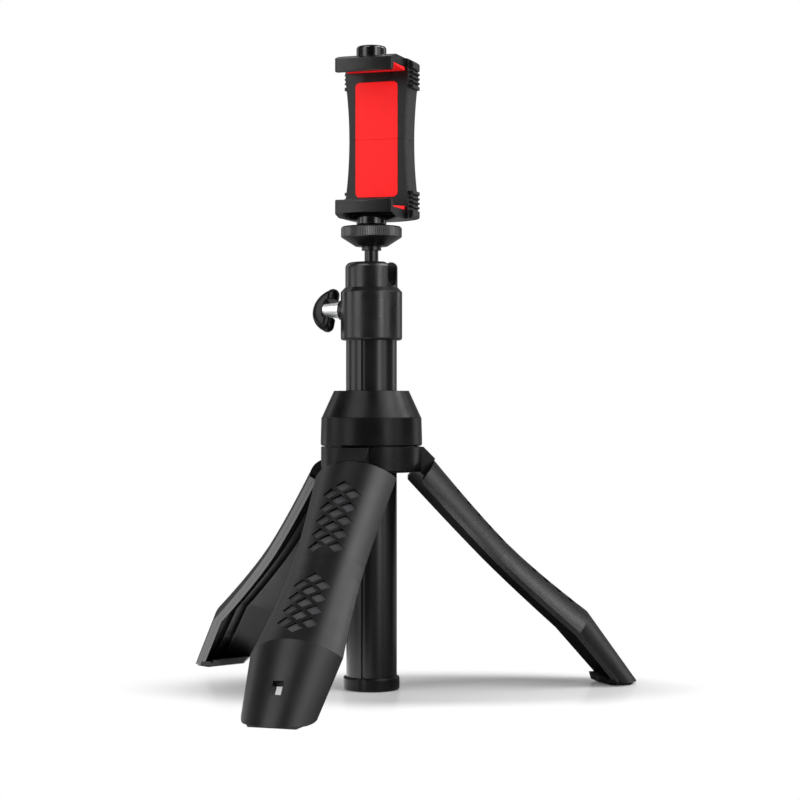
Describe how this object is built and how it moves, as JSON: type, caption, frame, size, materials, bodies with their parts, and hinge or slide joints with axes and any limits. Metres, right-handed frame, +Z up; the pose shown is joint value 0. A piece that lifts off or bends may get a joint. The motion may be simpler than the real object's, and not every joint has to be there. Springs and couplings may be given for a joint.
{
  "type": "phone tripod",
  "caption": "Hand grip tripod: folding legs with diamond grip fields round a sliding column, ball head with winged screw, and a sprung upright clamp with red panel for a phone.",
  "frame": {"origin": "on the column axis at the floor, level with the foot pads", "axes": "+Z up along the column; the phone faces -Y; the ball's side notch looks 14 degrees to the front of +X and the winged screw is at -X"},
  "size_m": [0.231, 0.2051, 0.3059],
  "materials": {
    "leg_plastic": "fine satin grain",
    "frame_plastic": "matt moulded",
    "foot_rubber": "matt",
    "steel": "plain drawn wire and rod",
    "keeper_steel": "black oxide",
    "hub_plastic": "satin",
    "liner_plastic": "slick unfilled",
    "column_paint": "satin black anodised tube",
    "head_metal": "satin black anodised, turned",
    "plug_metal": "plain turned",
    "screw_chrome": "bright plated",
    "wing_plastic": "satin",
    "clamp_plastic": "matt",
    "red_plastic": "soft matt",
    "red_rubber": "soft matt",
    "gloss_black": "polished"
  },
  "bodies": {
    "hub": {"hub_body": "hub_plastic", "pin_keepers": "keeper_steel", "keeper_screws": "steel", "grip_collet": "liner_plastic", "hinge_pins": "steel"},
    "collar": {"lock_collar": "hub_plastic"},
    "leg_front": {"leg_cover_front": "leg_plastic", "leg_frame_front": "frame_plastic", "foot_pad_front": "foot_rubber"},
    "leg_right": {"leg_cover_right": "leg_plastic", "leg_frame_right": "frame_plastic", "foot_pad_right": "foot_rubber"},
    "leg_left": {"leg_cover_left": "leg_plastic", "leg_frame_left": "frame_plastic", "foot_pad_left": "foot_rubber"},
    "column": {"column_tube": "column_paint", "column_foot": "hub_plastic", "head_sleeve": "head_metal", "sleeve_ring": "head_metal"},
    "screw": {"clamp_screw": "screw_chrome", "screw_wing": "wing_plastic"},
    "socket": {"head_socket": "head_metal", "ball_cup": "liner_plastic", "lift_plug": "plug_metal"},
    "ball": {"ball_stud": "head_metal"},
    "wheel": {"lock_wheel": "head_metal"},
    "clamp_lower": {"lower_frame": "clamp_plastic", "lower_back": "clamp_plastic", "lower_panel": "red_plastic", "lower_pad": "red_rubber", "lower_boss": "gloss_black", "lower_screws": "steel", "lower_spring_pin": "steel", "guide_rods": "steel", "clamp_springs": "steel"},
    "clamp_upper": {"upper_frame": "clamp_plastic", "upper_back": "clamp_plastic", "upper_panel": "red_plastic", "upper_pad": "red_rubber", "upper_boss": "gloss_black", "upper_screws": "steel", "upper_spring_pin": "steel"}
  },
  "joints": [
    {"name": "collar_turn", "type": "hinge", "parent": "hub", "child": "collar", "pos_m": [0, 0, 0.1159], "axis": [0, 0, 1], "range_deg": [0, 120]},
    {"name": "leg_front_fold", "type": "hinge", "parent": "hub", "child": "leg_front", "pos_m": [0, -0.0176, 0.1132], "axis": [1, 0, 0], "range_deg": [0, 45]},
    {"name": "leg_right_fold", "type": "hinge", "parent": "hub", "child": "leg_right", "pos_m": [0.01524, 0.0088, 0.1132], "axis": [-0.5, 0.866, 0], "range_deg": [0, 45]},
    {"name": "leg_left_fold", "type": "hinge", "parent": "hub", "child": "leg_left", "pos_m": [-0.01524, 0.0088, 0.1132], "axis": [-0.5, -0.866, 0], "range_deg": [0, 45]},
    {"name": "column_slide", "type": "slide", "parent": "hub", "child": "column", "axis": [0, 0, 1], "range_m": [-0.0235, 0.096]},
    {"name": "screw_turn", "type": "hinge", "parent": "column", "child": "screw", "pos_m": [-0.015, 0, 0.1805], "axis": [1, 0, 0], "range_deg": [-180, 180]},
    {"name": "head_pan", "type": "hinge", "parent": "column", "child": "socket", "pos_m": [0, 0, 0.191], "axis": [0, 0, 1], "range_deg": [-85, 85]},
    {"name": "ball_tilt", "type": "hinge", "parent": "socket", "child": "ball", "pos_m": [0, 0, 0.1955], "axis": [0.2419, 0.9703, 0], "range_deg": [-30, 90]},
    {"name": "wheel_turn", "type": "hinge", "parent": "ball", "child": "wheel", "pos_m": [0, 0, 0.2107], "axis": [0, 0, 1], "continuous": true},
    {"name": "clamp_swivel", "type": "hinge", "parent": "ball", "child": "clamp_lower", "pos_m": [0, 0, 0.2203], "axis": [0, 0, 1], "continuous": true},
    {"name": "jaw_slide", "type": "slide", "parent": "clamp_lower", "child": "clamp_upper", "axis": [0, 0, 1], "range_m": [0, 0.026], "stiffness_N_per_m": 250, "springref_m": -0.02, "deforming": ["clamp_springs"]}
  ]
}
